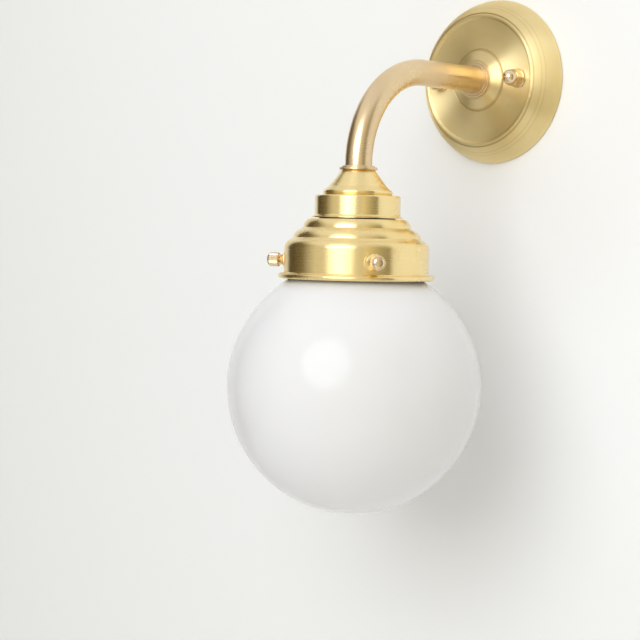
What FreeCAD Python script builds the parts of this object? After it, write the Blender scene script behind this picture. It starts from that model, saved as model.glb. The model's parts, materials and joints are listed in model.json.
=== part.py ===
import FreeCAD, Part
import math
import os
import Sketcher

# Globe wall sconce, millimetres. The origin is the centre of the rose's back, on the wall.
# +Z is up and the light stands out from the wall along -Y. "Depth" is the distance from the wall.

vector = FreeCAD.Vector
document = FreeCAD.newDocument("GlobeWallSconce")

# ---------------------------------------------------------------- driving dimensions

DIMENSIONS = {
    # the line that everything hangs on
    "reach": 133.0,            # wall to the lamp's upright axis
    "metal_wall": 1.2,         # spun brass sheet
    "fit_gap": 0.05,           # radial clearance of threads and sliding fits
    "free_gap": 0.1,           # radial clearance of a hole that a thread only passes
    "cut_over": 1.0,           # how far a cut runs past the faces that it opens
    "fine_edge": 0.3,          # broken edges, from fine to coarse
    "soft_edge": 0.4,
    "rim_edge": 0.8,
    # rose
    "rose_radius": 52.2,
    "rose_side_arc": 32.6,     # radius of the convex outer slope
    "crease_radius": 42.6,     # fine groove outside the crest bead
    "crease_depth": 17.2,
    "crest_inner": 39.2,       # inner foot of the crest bead
    "crest_arc": 1.75,
    "crease_half": 0.25,       # half the width of the crease
    "line_deep": 0.35,         # depth of the fine groove round the boss
    "dish_arc": 62.0,          # hollow of the dished face
    "groove_radius": 19.7,     # fine groove round the boss
    "face_depth": 17.1,
    "boss_foot": 18.7,
    "boss_foot_depth": 18.4,
    "boss_top": 12.5,
    "boss_depth": 20.6,
    "rose_slope_in": 6.2,      # how far the slope's inner face runs in at two thirds of its depth
    "rose_slope_mid": 3.0,     # and at one third
    "rose_hole_gap": 0.2,
    # mounting plate and its studs
    "plate_radius": 42.0,
    "plate_thick": 1.6,
    "cable_hole": 8.0,
    "slot_offset": 30.15,      # half of the 60.3 mm back-box spacing
    "slot_length": 12.0,
    "slot_width": 4.6,
    "stud_offset": 30.0,
    "stud_radius": 2.95,
    "stud_end": 26.5,
    "nut_seat": 16.55,         # depth of the dished face under the cap nuts
    "nut_washer_radius": 6.0,
    "nut_washer_thick": 1.4,
    "nut_flats": 10.0,
    "nut_hex_length": 5.4,
    "nut_length": 12.0,
    "nut_dome": 4.75,
    "nut_crown": 2.2,          # solid end over the nut's thread
    "nut_chamfer": 0.6,
    # hollow threaded nipples, M10 x 1, and what locks them
    "nipple_radius": 4.95,
    "nipple_bore": 3.5,
    "thread_radius": 5.0,
    "lock_flats": 14.0,
    "lock_thick": 3.0,
    "toothed_radius": 8.4,
    "toothed_thick": 0.8,
    "tooth_root": 1.5,         # how far a tooth runs into its ring
    "tooth_length": 1.1,
    "tooth_half": 0.8,
    # arm
    "tube_radius": 8.0,
    "tube_bore": 7.0,
    "bend_radius": 58.5,
    "collar_radius": 11.3,
    "collar_step": 9.8,
    "collar_flange": 1.6,
    "collar_length": 2.5,
    "spigot_radius": 6.8,
    "spigot_length": 3.6,
    "wall_nipple_length": 12.5,
    "lamp_nipple_length": 15.0,
    "tube_start": 23.1,        # depth of the tube's end at the wall
    "tube_drop": 59.3,         # drop of the tube's end at the lamp
    # holder cup, distances down from the arm's axis
    "cup_top": 61.8,
    "cup_neck": 10.3,
    "cup_neck_z": 62.5,
    "cup_cone": 15.2,
    "cup_cone_z": 69.0,
    "cup_crease": 17.2,
    "cup_crease_z": 71.5,
    "cup_bead": 20.5,
    "cup_bead_z": 75.0,
    "cup_ledge_z": 76.8,
    "cup_drum": 25.3,
    "cup_corner": 1.2,
    "cup_lip": 27.1,
    "cup_lip_z": 88.1,
    "cup_foot_z": 90.0,
    # gallery
    "gallery_top": 90.75,
    "gallery_wall": 1.0,
    "gallery_hole": 20.2,
    "step_one_in": 28.85,
    "step_one_out": 31.9,
    "step_one_z": 95.8,
    "step_two_in": 34.3,
    "step_two_in_z": 97.2,
    "step_two_out": 37.7,
    "step_two_z": 101.8,
    "drum_top": 39.65,
    "drum_top_z": 103.4,
    "drum_radius": 42.8,
    "drum_corner_z": 107.7,
    "lip_z": 123.0,
    "lip_bead": 1.6,
    "lip_radius": 46.2,
    "shoulder_arc": 6.5,       # hollow roundings of the gallery's steps
    "drum_arc": 5.0,
    # shade screws
    "screw_z": 115.5,
    "screw_turn": 54.0,        # bearing of the first screw, from -Y towards +X
    "screw_radius": 2.0,
    "screw_bore": 2.05,
    "screw_wall_hole": 2.4,
    "bush_radius": 5.8,
    "bush_rim": 43.9,
    "bush_end": 46.6,
    "bush_tip": 3.0,
    "bush_arc": 6.0,
    "bush_seat": 0.8,          # how far the bush reaches into the drum before its seat is cut
    "head_start": 47.8,
    "head_end": 55.5,
    "head_radius": 4.2,
    "head_dome": 1.3,
    "tip_radius": 1.5,
    "tip_start": 38.3,
    "tip_end": 39.8,
    # globe
    "globe_radius": 75.0,
    "globe_z": 190.0,
    "glass_wall": 3.0,
    "neck_radius": 38.2,
    "neck_bore": 35.0,
    "rim_radius": 40.0,
    "rim_z": 109.2,
    "rim_foot_z": 113.4,
    "neck_arc": 4.5,
    # lampholder, E27
    "holder_top": 67.2,
    "holder_neck": 8.0,
    "holder_radius": 19.5,
    "holder_wall": 1.6,
    "holder_sleeve": 3.6,      # drops of the cap's sleeve, shoulder and drum from its top
    "holder_shoulder": 9.6,
    "holder_drum": 12.8,
    "holder_slope": 3.5,
    "holder_roof": 2.0,
    "flange_radius": 22.5,
    "flange_z": 88.6,
    "skirt_radius": 19.8,
    "skirt_bore": 18.2,
    "skirt_z": 122.0,
    "ring_radius": 26.0,
    "ring_thick": 4.6,
    "ring_rim": 1.2,           # thickness of the ring's outer rim
    "ring_step": 2.6,
    "grip_radius": 1.4,
    "insulator_radius": 18.1,
    "insulator_top": 89.2,
    "insulator_lip": 1.0,      # how far the insulator's wall reaches past the screw shell
    "floor_z": 96.5,           # lower face of the insulator's floor
    "shell_radius": 13.95,
    "shell_bore": 13.5,
    "shell_z": 118.0,
    "tongue_half": 9.0,        # the sprung contact's strip and its raised middle
    "tongue_wide": 6.0,
    "tongue_thick": 0.5,
    "tongue_foot": 3.0,
    "tongue_top": 2.0,
    # lamp, A60 shape with an E27 cap
    "lamp_contact_z": 97.9,
    "lamp_button": 3.6,
    "lamp_button_foot": 4.6,
    "lamp_button_thick": 0.8,
    "lamp_cap_edge": 1.2,
    "lamp_cap_wall": 0.6,
    "lamp_seat": 5.0,          # how far the lamp's glass runs into its cap
    "lamp_throat_arc": 50.0,
    "lamp_throat_turn": 28.0,  # where the neck's hollow arc meets the ball, above its centre
    "lamp_cap_radius": 13.2,
    "lamp_cap_z": 101.0,
    "lamp_cap_end": 122.0,
    "lamp_neck": 14.0,
    "lamp_neck_z": 131.0,
    "lamp_radius": 30.0,
    "lamp_centre_z": 172.9,
    # wiring
    "wire_radius": 1.0,
    "wire_offset": 1.2,
    "block_wide": 24.0,
    "block_tall": 13.0,
    "block_deep": 11.0,
    "block_z": 9.0,
    "pole_pitch": 8.0,
    "waist_half": 0.6,
    "entry_radius": 1.6,
    "entry_depth": 5.0,
    "well_radius": 1.8,
    "well_rise": 4.0,
    "well_deep": 3.4,
    "earth_x": 20.0,
    "earth_drop": 16.0,
    "earth_shank": 1.95,
    "earth_head": 3.2,
    "earth_slot_half": 0.5,
    "eye_radius": 3.8,
    "earth_rise": 2.4,
    "tag_thick": 0.8,
    "tag_barrel": 1.6,
    "tag_length": 5.0,
    "contact_offset": 7.0,
    "contact_radius": 3.0,
    "contact_rise": 2.4,
}

sheet = document.addObject("Spreadsheet::Sheet", "Size")
for row, (alias, number) in enumerate(DIMENSIONS.items(), start=1):
    sheet.set(f"A{row}", alias)
    sheet.set(f"B{row}", str(number))
    sheet.setAlias(f"B{row}", alias)
document.recompute()

# ---------------------------------------------------------------- placing

UPRIGHT = FreeCAD.Rotation()
OUTWARD = FreeCAD.Rotation(vector(1, 0, 0), 90)      # a piece's own +Z then leaves the wall


def size(alias):
    return float(getattr(sheet, alias))


def bearing(degrees):
    return FreeCAD.Rotation(vector(0, 0, 1), degrees)


def place(piece, rotation, x="0", y="0", z="0"):
    piece.Placement = FreeCAD.Placement(vector(0, 0, 0), rotation)
    for axis, text in (("x", x), ("y", y), ("z", z)):
        if text != "0":
            piece.setExpression(f"Placement.Base.{axis}", text)


def on_wall(piece, x="0", y="0", z="0"):
    place(piece, OUTWARD, x, y, z)


def on_lamp_axis(piece, turn=0.0):
    place(piece, bearing(turn), y="-Size.reach")


# ---------------------------------------------------------------- sketches

def new_body(label):
    body = document.addObject("PartDesign::Body", label)
    body.Label = label
    return body


def sketch_on(body, role, name):
    plane = [item for item in body.Origin.OriginFeatures if item.Role == role][0]
    sketch = body.newObject("Sketcher::SketchObject", f"{body.Name}_{name}")
    sketch.AttachmentSupport = [(plane, "")]
    sketch.MapMode = "FlatFace"
    return sketch


def bind(sketch, constraint, text):
    number = sketch.addConstraint(constraint)
    sketch.setExpression(f"Constraints[{number}]", text)


def pin_point(sketch, edge, end, corner):
    across = float(sketch.evalExpression(corner[0]))
    along = float(sketch.evalExpression(corner[1]))
    bind(sketch, Sketcher.Constraint("DistanceX", -1, 1, edge, end, across), corner[0])
    bind(sketch, Sketcher.Constraint("DistanceY", -1, 1, edge, end, along), corner[1])


def arc_between(first, last, radius):
    # a positive radius turns left on the way from first to last, a negative one turns right
    chord = last.sub(first)
    half = chord.Length / 2.0
    left = vector(-chord.y, chord.x, 0).normalize()
    side = 1.0 if radius > 0 else -1.0
    rise = math.sqrt(max(radius * radius - half * half, 0.0))
    centre = first.add(last).multiply(0.5).add(vector(left).multiply(side * rise))
    middle = centre.sub(vector(left).multiply(side * abs(radius)))
    return Part.Arc(first, middle, last)


def outline(sketch, corners, closed=True):
    # each corner is (across, along), or (across, along, radius) where an arc leads to the next corner
    points = []
    for corner in corners:
        across = float(sketch.evalExpression(corner[0]))
        along = float(sketch.evalExpression(corner[1]))
        points.append(vector(across, along, 0))
    count = len(points) if closed else len(points) - 1
    ends = []
    for index in range(count):
        first = points[index]
        last = points[(index + 1) % len(points)]
        if len(corners[index]) == 2:
            edge = sketch.addGeometry(Part.LineSegment(first, last), False)
        else:
            radius = float(sketch.evalExpression(corners[index][2]))
            edge = sketch.addGeometry(arc_between(first, last, radius), False)
        forward = sketch.getPoint(edge, 1).distanceToPoint(first) < 1e-6
        ends.append((edge, 1, 2) if forward else (edge, 2, 1))
    for index in range(count if closed else count - 1):
        edge, _, tail = ends[index]
        following, head, _ = ends[(index + 1) % count]
        sketch.addConstraint(Sketcher.Constraint("Coincident", edge, tail, following, head))
    for index in range(count):
        edge, head, tail = ends[index]
        pin_point(sketch, edge, head, corners[index])
        if len(corners[index]) == 3:
            radius = abs(float(sketch.evalExpression(corners[index][2])))
            bind(sketch, Sketcher.Constraint("Radius", edge, radius), f"abs({corners[index][2]})")
    if not closed:
        edge, head, tail = ends[-1]
        pin_point(sketch, edge, tail, corners[-1])
    return sketch


def circle(sketch, radius, across="0", along="0"):
    number = float(sketch.evalExpression(radius))
    centre = vector(float(sketch.evalExpression(across)), float(sketch.evalExpression(along)), 0)
    edge = sketch.addGeometry(Part.Circle(centre, vector(0, 0, 1), number), False)
    bind(sketch, Sketcher.Constraint("Radius", edge, number), radius)
    if across == "0" and along == "0":
        sketch.addConstraint(Sketcher.Constraint("Coincident", edge, 3, -1, 1))
    else:
        pin_point(sketch, edge, 3, (across, along))
    return sketch


def rectangle(sketch, left, right, low, high):
    return outline(sketch, [(left, low), (right, low), (right, high), (left, high)])


def hexagon(sketch, flats):
    # corners point to the sketch's own left and right, flats to its top and bottom
    corner = f"{flats} / sqrt(3)"
    return outline(sketch, [
        (corner, "0"),
        (f"{corner} / 2", f"{flats} / 2"),
        (f"-{corner} / 2", f"{flats} / 2"),
        (f"-{corner}", "0"),
        (f"-{corner} / 2", f"-{flats} / 2"),
        (f"{corner} / 2", f"-{flats} / 2"),
    ])


# ---------------------------------------------------------------- features

def revolve(body, sketch):
    feature = body.newObject("PartDesign::Revolution", f"{body.Name}_turned")
    feature.Profile = (sketch, [""])
    feature.ReferenceAxis = (sketch, ["V_Axis"])
    feature.Angle = 360
    sketch.Visibility = False
    return feature


def groove(body, sketch, name):
    feature = body.newObject("PartDesign::Groove", f"{body.Name}_{name}")
    feature.Profile = (sketch, [""])
    feature.ReferenceAxis = (sketch, ["V_Axis"])
    feature.Angle = 360
    return feature


def pad(body, sketch, length, name="pad"):
    feature = body.newObject("PartDesign::Pad", f"{body.Name}_{name}")
    feature.Profile = (sketch, [""])
    feature.setExpression("Length", length)
    return feature


def pocket(body, sketch, length, name, ahead=False):
    # ahead: along the sketch's own normal, otherwise against it
    feature = body.newObject("PartDesign::Pocket", f"{body.Name}_{name}")
    feature.Profile = (sketch, [""])
    feature.setExpression("Length", length)
    feature.Reversed = ahead
    return feature


def repeat_round(body, feature, name, count):
    pattern = body.newObject("PartDesign::PolarPattern", f"{body.Name}_{name}")
    pattern.Originals = [feature]
    axis = [item for item in body.Origin.OriginFeatures if item.Role == "Z_Axis"][0]
    pattern.Axis = (axis, [""])
    pattern.Angle = 360
    pattern.Occurrences = count
    body.Tip = pattern
    return pattern


def turned(label, corners):
    body = new_body(label)
    revolve(body, outline(sketch_on(body, "XZ_Plane", "profile"), corners))
    return body


def ring(label, inner, outer, low, high):
    return turned(label, [(inner, low), (outer, low), (outer, high), (inner, high)])


# ---------------------------------------------------------------- behind the rose

def mounting_plate():
    body = new_body("mounting_plate")
    disc = circle(sketch_on(body, "XY_Plane", "disc"), "Size.plate_radius")
    circle(disc, "Size.cable_hole")
    for side in ("", "-"):
        circle(disc, "Size.stud_radius + Size.fit_gap", f"{side}Size.stud_offset", "0")
    circle(disc, "Size.earth_shank + Size.fit_gap", "Size.earth_x", "-Size.earth_drop")
    pad(body, disc, "Size.plate_thick")
    slot = sketch_on(body, "XY_Plane", "slot")
    low = "Size.slot_offset - (Size.slot_length - Size.slot_width) / 2"
    high = "Size.slot_offset + (Size.slot_length - Size.slot_width) / 2"
    half = "Size.slot_width / 2"
    outline(slot, [
        (half, low),
        (half, high, half),
        ("0", f"{high} + {half}", half),
        (f"-{half}", high),
        (f"-{half}", low, half),
        ("0", f"{low} - {half}", half),
    ])
    cut = pocket(body, slot, "Size.plate_thick + Size.cut_over", "slot_cut", ahead=True)
    document.recompute()
    repeat_round(body, cut, "slots", 2)
    on_wall(body)


def stud(label, side):
    rod = document.addObject("Part::Cylinder", label)
    rod.Label = label
    rod.setExpression("Radius", "Size.stud_radius")
    rod.setExpression("Height", "Size.stud_end")
    on_wall(rod, x=f"{side}Size.stud_offset")


def rose_washer(label, side):
    body = turned(label, [
        ("Size.stud_radius + Size.fit_gap", "0"),
        ("Size.nut_washer_radius", "0"),
        ("Size.nut_washer_radius", "Size.nut_washer_thick * 0.6"),
        ("Size.nut_washer_radius - Size.soft_edge", "Size.nut_washer_thick"),
        ("Size.stud_radius + Size.fit_gap", "Size.nut_washer_thick"),
    ])
    on_wall(body, x=f"{side}Size.stud_offset", y="-Size.nut_seat")


def cap_nut(label, side):
    body = new_body(label)
    pad(body, hexagon(sketch_on(body, "XY_Plane", "hexagon"), "Size.nut_flats"), "Size.nut_hex_length")
    revolve(body, outline(sketch_on(body, "XZ_Plane", "dome"), [
        ("0", "Size.nut_hex_length - Size.cut_over"),
        ("Size.nut_dome", "Size.nut_hex_length - Size.cut_over"),
        ("Size.nut_dome", "Size.nut_length - Size.nut_dome", "Size.nut_dome"),
        ("0", "Size.nut_length"),
    ]))
    corner = "Size.nut_flats / sqrt(3) + Size.free_gap"
    groove(body, outline(sketch_on(body, "XZ_Plane", "shoulder"), [
        ("Size.nut_flats / 2", "Size.nut_hex_length + Size.free_gap"),
        (corner, "Size.nut_hex_length - Size.nut_chamfer"),
        (corner, "Size.nut_hex_length + Size.free_gap"),
    ]), "shoulder_cut")
    bore = circle(sketch_on(body, "XY_Plane", "bore"), "Size.stud_radius + Size.fit_gap")
    pocket(body, bore, "Size.nut_length - Size.nut_crown", "bore_cut", ahead=True)
    on_wall(body, x=f"{side}Size.stud_offset", y="-(Size.nut_seat + Size.nut_washer_thick)")


def terminal_block():
    body = new_body("terminal_block")
    base = sketch_on(body, "XY_Plane", "base")
    rectangle(base, "-Size.block_wide / 2", "Size.block_wide / 2",
              "Size.block_z", "Size.block_z + Size.block_tall")
    pad(body, base, "Size.block_deep")
    # waists between the three poles, then each pole's wire entry and screw well
    waists = sketch_on(body, "XY_Plane", "waists")
    for side in ("-", ""):
        middle = f"{side}Size.pole_pitch / 2"
        rectangle(waists, f"{middle} - Size.waist_half", f"{middle} + Size.waist_half",
                  "Size.block_z - Size.cut_over", "Size.block_z + Size.block_tall + Size.cut_over")
    waists.setExpression("AttachmentOffset.Base.z", "Size.block_deep")
    pocket(body, waists, "Size.block_deep * 0.35", "waist_cut")
    entries = sketch_on(body, "XZ_Plane", "entries")
    wells = sketch_on(body, "XY_Plane", "wells")
    for pole in POLES:
        circle(entries, "Size.entry_radius", pole, "Size.entry_depth")
        circle(wells, "Size.well_radius", pole, "Size.block_z + Size.well_rise")
    entries.setExpression("AttachmentOffset.Base.z", "-Size.block_z")
    pocket(body, entries, "Size.block_tall * 0.6", "entry_cut")
    wells.setExpression("AttachmentOffset.Base.z", "Size.block_deep")
    pocket(body, wells, "Size.well_deep", "well_cut")
    on_wall(body, y="-Size.plate_thick")


def terminal_screws():
    # the three clamp screws of the block, one node
    screws = []
    for pole in POLES:
        screw = document.addObject("Part::Cylinder", "clamp_screw")
        screw.setExpression("Radius", "Size.well_radius - Size.fit_gap")
        screw.setExpression("Height", "Size.well_deep * 0.6")
        place(screw, OUTWARD, x=pole, y="-(Size.plate_thick + Size.block_deep - Size.well_deep)",
              z="Size.block_z + Size.well_rise")
        screws.append(screw)
    group = document.addObject("Part::Compound", "terminal_screws")
    group.Label = "terminal_screws"
    group.Links = screws


def earth_screw():
    # pan head with a driver slot; its shank is held in the plate
    body = turned("earth_screw", [
        ("0", "-Size.plate_thick - Size.tag_thick"),
        ("Size.earth_shank", "-Size.plate_thick - Size.tag_thick"),
        ("Size.earth_shank", "0"),
        ("Size.earth_head", "0"),
        ("Size.earth_head", "Size.earth_rise * 0.5", "Size.earth_head * 0.6"),
        ("Size.earth_head * 0.6", "Size.earth_rise"),
        ("0", "Size.earth_rise"),
    ])
    cut = sketch_on(body, "XY_Plane", "driver")
    rectangle(cut, "-Size.earth_slot_half", "Size.earth_slot_half",
              "-Size.earth_head - Size.cut_over", "Size.earth_head + Size.cut_over")
    cut.setExpression("AttachmentOffset.Base.z", "Size.earth_rise")
    pocket(body, cut, "Size.earth_rise * 0.45", "driver_cut")
    on_wall(body, "Size.earth_x", "-(Size.plate_thick + Size.tag_thick)", "-Size.earth_drop")


def earth_tag():
    # crimped ring under the earth screw, its barrel towards the terminal block
    body = new_body("earth_tag")
    eye = circle(sketch_on(body, "XY_Plane", "eye"), "Size.eye_radius")
    circle(eye, "Size.earth_shank + Size.fit_gap")
    pad(body, eye, "Size.tag_thick")
    barrel = sketch_on(body, "XZ_Plane", "barrel")
    middle = "Size.tag_barrel + Size.tag_thick / 2"
    circle(barrel, "Size.tag_barrel", "0", middle)
    circle(barrel, "Size.wire_radius + Size.fit_gap", "0", middle)
    barrel.setExpression("AttachmentOffset.Base.z", "-Size.eye_radius + Size.soft_edge")
    sleeve = pad(body, barrel, "Size.tag_length", "sleeve")
    sleeve.Reversed = True
    on_wall(body, "Size.earth_x", "-Size.plate_thick", "-Size.earth_drop")


# ---------------------------------------------------------------- rose and arm

def wall_rose():
    body = turned("wall_rose", [
        ("Size.rose_radius", "0", "Size.rose_side_arc"),
        ("Size.crease_radius", "Size.crease_depth"),
        # crest bead
        ("Size.crease_radius - Size.crease_half", "Size.crease_depth - Size.fine_edge"),
        ("Size.crease_radius - 2 * Size.crease_half", "Size.crease_depth - Size.free_gap", "Size.crest_arc"),
        ("Size.crest_inner", "Size.crease_depth - 2 * Size.free_gap"),
        # dished face, dipping between crest and boss
        ("Size.crest_inner - Size.soft_edge", "Size.crease_depth - Size.crease_half * 2", "-Size.dish_arc"),
        ("Size.groove_radius + Size.fine_edge", "Size.face_depth"),
        ("Size.groove_radius", "Size.face_depth - Size.line_deep"),
        ("Size.groove_radius - Size.fine_edge", "Size.face_depth - Size.line_deep / 2"),
        # boss
        ("Size.boss_foot + Size.fine_edge", "Size.boss_foot_depth - Size.soft_edge"),
        ("Size.boss_foot - Size.fine_edge", "Size.boss_foot_depth"),
        ("Size.boss_top + 2 * Size.fine_edge", "Size.boss_depth - 2 * Size.free_gap"),
        ("Size.boss_top", "Size.boss_depth"),
        ("Size.thread_radius + Size.free_gap", "Size.boss_depth"),
        # inside of the sheet
        ("Size.thread_radius + Size.free_gap", "Size.boss_depth - Size.metal_wall"),
        ("Size.boss_top - 2 * Size.free_gap", "Size.boss_depth - Size.metal_wall"),
        ("Size.boss_foot - Size.metal_wall", "Size.boss_foot_depth - Size.metal_wall"),
        ("Size.boss_foot", "Size.face_depth - Size.metal_wall - Size.soft_edge"),
        ("Size.groove_radius + Size.rim_edge", "Size.face_depth - Size.metal_wall"),
        ("Size.stud_offset", "Size.nut_seat - Size.metal_wall"),
        ("Size.crest_inner - 2 * Size.free_gap",
         "Size.crease_depth - Size.metal_wall - 2 * Size.crease_half"),
        ("Size.crease_radius - Size.rim_edge", "Size.crease_depth - Size.metal_wall"),
        ("Size.rose_radius - Size.rose_slope_in", "Size.crease_depth * 2 / 3"),
        ("Size.rose_radius - Size.rose_slope_mid", "Size.crease_depth / 3"),
        ("Size.rose_radius - Size.metal_wall", "0"),
    ])
    for side in ("", "-"):
        hole = circle(sketch_on(body, "XY_Plane", f"hole{side}"), "Size.stud_radius + Size.rose_hole_gap",
                      f"{side}Size.stud_offset", "0")
        pocket(body, hole, "Size.boss_depth", f"stud_hole{side}", ahead=True)
    on_wall(body)


def nipple(label, length):
    return ring(label, "Size.nipple_bore", "Size.nipple_radius", "0", length)


def toothed_washer(label):
    # star washer: a ring with teeth all the way round
    body = new_body(label)
    disc = circle(sketch_on(body, "XY_Plane", "disc"), "Size.toothed_radius - Size.tooth_length")
    circle(disc, "Size.thread_radius + Size.fit_gap")
    pad(body, disc, "Size.toothed_thick")
    tooth = sketch_on(body, "XY_Plane", "tooth")
    rectangle(tooth, "Size.toothed_radius - Size.tooth_root", "Size.toothed_radius",
              "-Size.tooth_half", "Size.tooth_half")
    tip = pad(body, tooth, "Size.toothed_thick", "tooth_pad")
    document.recompute()
    repeat_round(body, tip, "teeth", TEETH)
    return body


def lock_nut(label):
    body = new_body(label)
    plan = hexagon(sketch_on(body, "XY_Plane", "plan"), "Size.lock_flats")
    circle(plan, "Size.thread_radius")
    pad(body, plan, "Size.lock_thick")
    return body


def arm_collar(label):
    # stepped flange with a spigot that fills the tube's end, bored for the nipple
    return turned(label, [
        ("Size.thread_radius", "0"),
        ("Size.collar_radius - Size.soft_edge", "0"),
        ("Size.collar_radius", "Size.soft_edge"),
        ("Size.collar_radius", "Size.collar_flange - Size.soft_edge"),
        ("Size.collar_radius - Size.soft_edge", "Size.collar_flange"),
        ("Size.collar_step", "Size.collar_flange"),
        ("Size.collar_step", "Size.collar_length - Size.fine_edge"),
        ("Size.collar_step - Size.fine_edge", "Size.collar_length"),
        ("Size.spigot_radius", "Size.collar_length"),
        ("Size.spigot_radius", "Size.collar_length + Size.spigot_length"),
        ("Size.thread_radius", "Size.collar_length + Size.spigot_length"),
    ])


def arm_tube():
    body = new_body("arm_tube")
    route = sketch_on(body, "YZ_Plane", "route")
    outline(route, [
        ("-Size.tube_start", "0"),
        ("-(Size.reach - Size.bend_radius)", "0", "Size.bend_radius"),
        ("-Size.reach", "-Size.bend_radius"),
        ("-Size.reach", "-Size.tube_drop"),
    ], closed=False)
    section = sketch_on(body, "XZ_Plane", "section")
    circle(section, "Size.tube_radius")
    circle(section, "Size.tube_bore")
    section.setExpression("AttachmentOffset.Base.z", "Size.tube_start")
    document.recompute()
    bend = body.newObject("PartDesign::AdditivePipe", "arm_tube_bend")
    bend.Profile = (section, [""])
    bend.Spine = (route, ["Edge1", "Edge2", "Edge3"])


# ---------------------------------------------------------------- holder cup and gallery

def holder_cup():
    body = turned("holder_cup", [
        ("Size.thread_radius + 0.1", "-Size.cup_top"),
        ("Size.cup_neck - 0.7", "-Size.cup_top"),
        ("Size.cup_neck", "-Size.cup_neck_z"),
        ("Size.cup_cone", "-Size.cup_cone_z"),
        ("Size.cup_crease", "-Size.cup_crease_z"),
        # bead over the ledge
        ("Size.cup_bead - 0.9", "-Size.cup_bead_z + 1.5", "-1.75"),
        ("Size.cup_bead - 0.5", "-Size.cup_bead_z - 1.3"),
        ("Size.cup_bead", "-Size.cup_ledge_z + 0.1"),
        ("Size.cup_drum - Size.cup_corner", "-Size.cup_ledge_z", "-Size.cup_corner"),
        ("Size.cup_drum", "-Size.cup_ledge_z - Size.cup_corner"),
        ("Size.cup_drum", "-Size.cup_lip_z"),
        ("Size.cup_drum + 0.6", "-Size.cup_lip_z - 1.0"),
        ("Size.cup_lip", "-Size.cup_foot_z + 0.5"),
        ("Size.cup_lip", "-Size.cup_foot_z"),
        ("Size.cup_drum - Size.metal_wall", "-Size.cup_foot_z"),
        # inside of the sheet
        ("Size.cup_drum - Size.metal_wall", "-Size.cup_ledge_z - Size.metal_wall"),
        ("Size.cup_bead - 1.7", "-Size.cup_ledge_z - Size.metal_wall"),
        ("Size.cup_bead - 1.7", "-Size.cup_bead_z"),
        ("Size.cup_bead - 2.2", "-Size.cup_bead_z + 1.0"),
        ("Size.cup_cone - 0.9", "-Size.cup_cone_z - 0.8"),
        ("Size.cup_neck - 1.0", "-Size.cup_neck_z - 0.7"),
        ("Size.thread_radius + 0.1", "-Size.cup_neck_z - 0.7"),
    ])
    on_lamp_axis(body)


def gallery():
    wall = "Size.gallery_wall"
    bead = "(Size.lip_radius - Size.lip_bead)"
    body = turned("gallery", [
        ("Size.gallery_hole", "-Size.gallery_top"),
        ("Size.step_one_in", "-Size.gallery_top", "-Size.shoulder_arc"),
        ("Size.step_one_out", "-Size.step_one_z"),
        ("Size.step_two_in", "-Size.step_two_in_z", "-Size.shoulder_arc"),
        ("Size.step_two_out", "-Size.step_two_z"),
        ("Size.drum_top", "-Size.drum_top_z", "-Size.drum_arc"),
        ("Size.drum_radius", "-Size.drum_corner_z"),
        # drum, then the rolled bead at its foot
        ("Size.drum_radius", "-Size.lip_z + 0.6"),
        ("Size.drum_radius + 0.6", "-Size.lip_z"),
        (bead, "-Size.lip_z", "-Size.lip_bead"),
        ("Size.lip_radius", "-Size.lip_z - Size.lip_bead", "-Size.lip_bead"),
        (bead, "-Size.lip_z - 2 * Size.lip_bead"),
        ("Size.drum_radius", "-Size.lip_z - 2 * Size.lip_bead"),
        (f"Size.drum_radius - {wall}", "-Size.lip_z - 2 * Size.lip_bead + 0.8"),
        # inside of the sheet
        (f"Size.drum_radius - {wall}", "-Size.drum_corner_z - 0.2"),
        (f"Size.drum_radius - 1.7 * {wall}", "-Size.drum_corner_z + 1.7"),
        (f"Size.drum_top - 0.7 * {wall}", f"-Size.drum_top_z - 0.8 * {wall}"),
        (f"Size.step_two_out - 0.8 * {wall}", f"-Size.step_two_z - 0.8 * {wall}"),
        (f"Size.step_two_out - 2.0 * {wall}", "-(Size.step_two_z + Size.step_two_in_z) / 2 - 0.3"),
        (f"Size.step_two_in - 0.8 * {wall}", f"-Size.step_two_in_z - 0.8 * {wall}"),
        (f"Size.step_one_out - 0.8 * {wall}", f"-Size.step_one_z - 0.8 * {wall}"),
        (f"Size.step_one_out - 2.0 * {wall}", "-(Size.step_one_z + Size.gallery_top) / 2 - 0.3"),
        (f"Size.step_one_in - 0.5 * {wall}", f"-Size.gallery_top - {wall}"),
        ("Size.gallery_hole", f"-Size.gallery_top - {wall}"),
    ])
    hole = circle(sketch_on(body, "XZ_Plane", "screw_hole"), "Size.screw_wall_hole", "0", "-Size.screw_z")
    cut = pocket(body, hole, "Size.drum_radius + Size.cut_over", "screw_cut", ahead=True)
    document.recompute()
    repeat_round(body, cut, "screw_cuts", SCREWS)
    on_lamp_axis(body, size("screw_turn"))


def on_screw_axis(piece, number):
    # the piece's own +Z then runs outwards along the numbered shade screw
    turn = size("screw_turn") + 360.0 / SCREWS * number
    place(piece, bearing(turn).multiply(OUTWARD), y="-Size.reach", z="-Size.screw_z")


def screw_bush(number):
    # threaded cone brazed to the drum, its wide end hollowed to the drum's curve
    body = turned(f"screw_bush_{number + 1}", [
        ("Size.screw_bore", "Size.drum_radius - Size.bush_seat"),
        ("Size.bush_radius", "Size.drum_radius - Size.bush_seat"),
        ("Size.bush_radius", "Size.bush_rim"),
        ("Size.bush_radius - Size.rim_edge", "Size.bush_rim + Size.free_gap", "-Size.bush_arc"),
        ("Size.bush_tip", "Size.bush_end"),
        ("Size.screw_bore", "Size.bush_end"),
    ])
    seat = circle(sketch_on(body, "XZ_Plane", "seat"), "Size.drum_radius")
    cut = pocket(body, seat, "4 * Size.bush_radius", "seat_cut")
    cut.Midplane = True
    on_screw_axis(body, number)


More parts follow.
